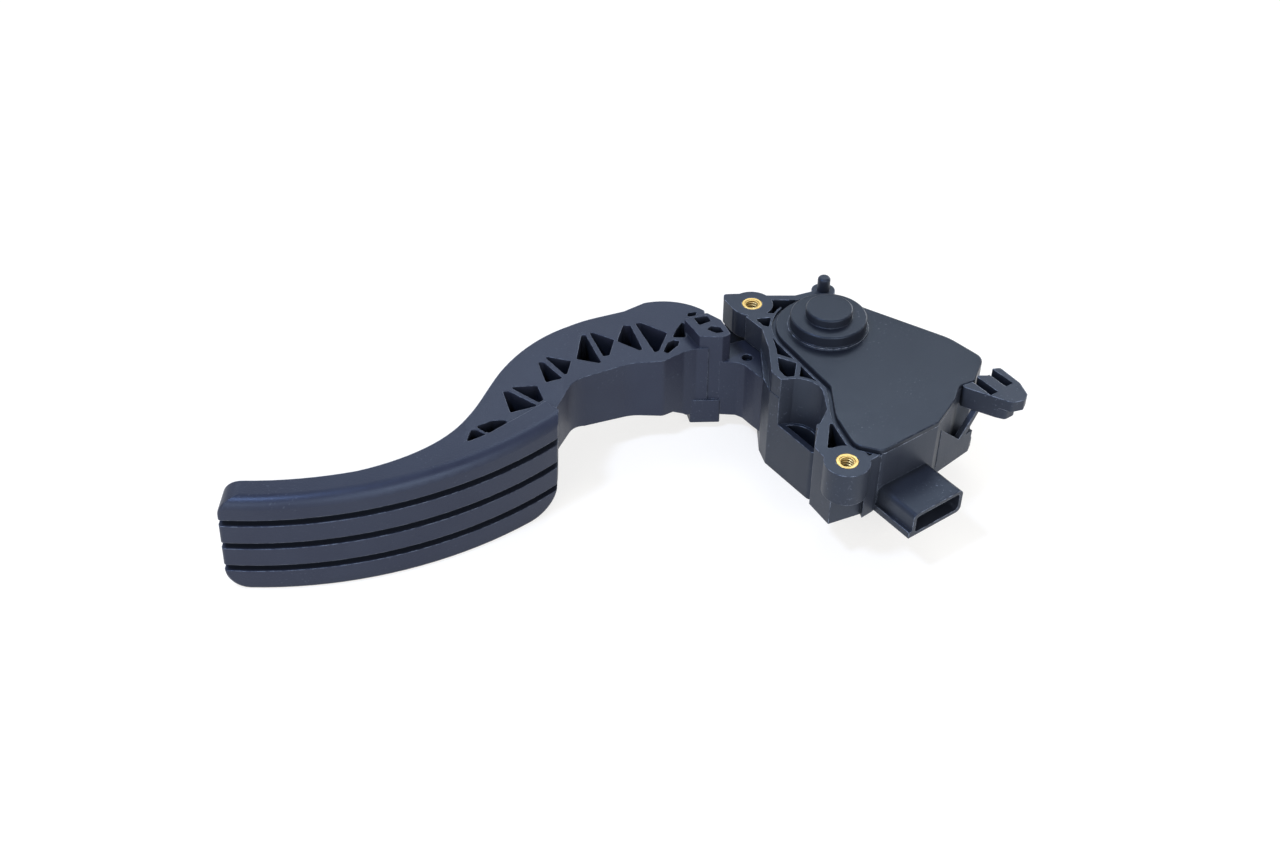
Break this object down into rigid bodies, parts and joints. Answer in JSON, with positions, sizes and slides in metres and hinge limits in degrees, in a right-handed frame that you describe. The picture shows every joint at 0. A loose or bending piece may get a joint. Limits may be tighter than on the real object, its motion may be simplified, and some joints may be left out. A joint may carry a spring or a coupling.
{
  "type": "accelerator pedal",
  "caption": "Electronic accelerator pedal with a grooved foot pad, a curved ribbed arm and a sensor housing with a round dome, brass inserts and a plug socket.",
  "frame": {"origin": "where the pivot axis meets the face that the pedal lies on", "axes": "+X runs from the foot pad to the connector end, +Y is the way the foot pushes the pad, +Z is along the pivot axis to the dome"},
  "size_m": [0.3197, 0.1398, 0.061],
  "materials": {
    "housing_plastic": "matte moulded",
    "cover_plastic": "fine matte moulded",
    "seal_rubber": "soft matte",
    "insert_brass": "turned",
    "bush_bronze": "sintered",
    "board_laminate": "solder mask",
    "chip_resin": "moulded",
    "carrier_plastic": "moulded",
    "pin_metal": "tinned",
    "spring_steel": "drawn wire",
    "bumper_rubber": "soft matte",
    "arm_plastic": "fine grained moulded",
    "shaft_steel": "ground",
    "clip_steel": "blackened",
    "rotor_plastic": "moulded",
    "magnet_ferrite": "sintered",
    "seat_plastic": "moulded",
    "shoe_plastic": "moulded"
  },
  "bodies": {
    "base": {"housing": "housing_plastic", "sensor_cover": "cover_plastic", "cover_seal": "seal_rubber", "threaded_inserts": "insert_brass", "lower_bush": "bush_bronze", "upper_bush": "bush_bronze", "sensor_board": "board_laminate", "hall_chips": "chip_resin", "terminal_carrier": "carrier_plastic", "terminal_pins": "pin_metal", "outer_return_spring": "spring_steel", "inner_return_spring": "spring_steel", "idle_bumper": "bumper_rubber"},
    "arm": {"pedal_arm": "arm_plastic", "pivot_shaft": "shaft_steel", "shaft_clip": "clip_steel", "magnet_rotor": "rotor_plastic", "ring_magnet": "magnet_ferrite", "spring_seat": "seat_plastic", "friction_shoe": "shoe_plastic"}
  },
  "joints": [
    {"name": "pedal_pivot", "type": "hinge", "parent": "base", "child": "arm", "pos_m": [0, 0, 0.025], "axis": [0, 0, -1], "range_deg": [0, 15], "stiffness_Nm_per_rad": 10, "springref_deg": -17.19, "deforming": ["outer_return_spring", "inner_return_spring"]}
  ]
}
